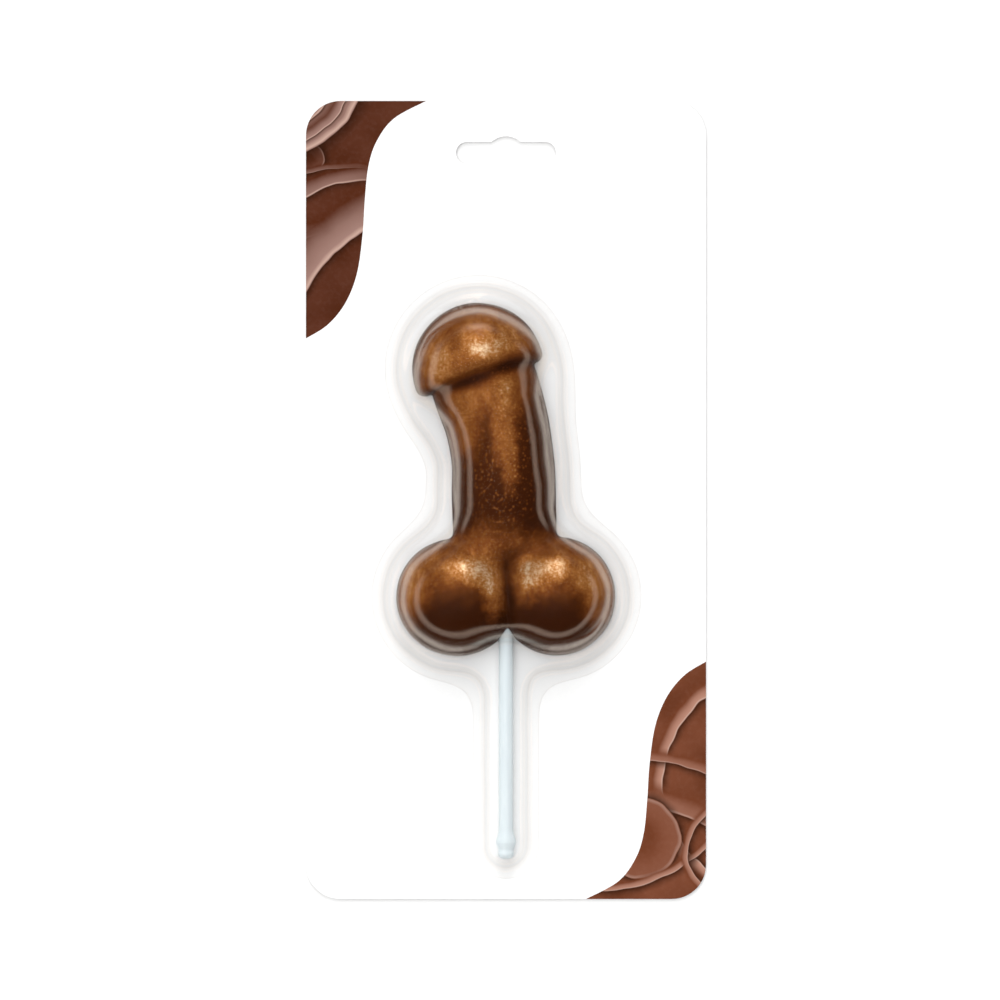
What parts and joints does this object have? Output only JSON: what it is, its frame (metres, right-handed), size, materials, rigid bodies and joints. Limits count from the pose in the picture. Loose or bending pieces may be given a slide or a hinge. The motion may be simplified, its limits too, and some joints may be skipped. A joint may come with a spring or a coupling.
{
  "type": "chocolate lollipop",
  "caption": "Adult novelty chocolate lollipop: a flat-backed phallic moulding on a plastic stick, sealed under a clear blister on a hang card.",
  "frame": {"origin": "middle of the card, at its back face", "axes": "+X across the card, +Y along the card towards the hang slot, +Z out of the card's printed face"},
  "size_m": [0.1, 0.1994, 0.0191],
  "materials": {
    "card": "white coated card with two brown printed corner fields",
    "chocolate": "brown chocolate with a gold and bronze lustre dust",
    "stick": "bluish white moulded plastic",
    "film": "clear glossy thermoformed film"
  },
  "bodies": {
    "root": {"backing_card": "card", "chocolate": "chocolate", "stick": "stick", "blister": "film"}
  },
  "joints": []
}
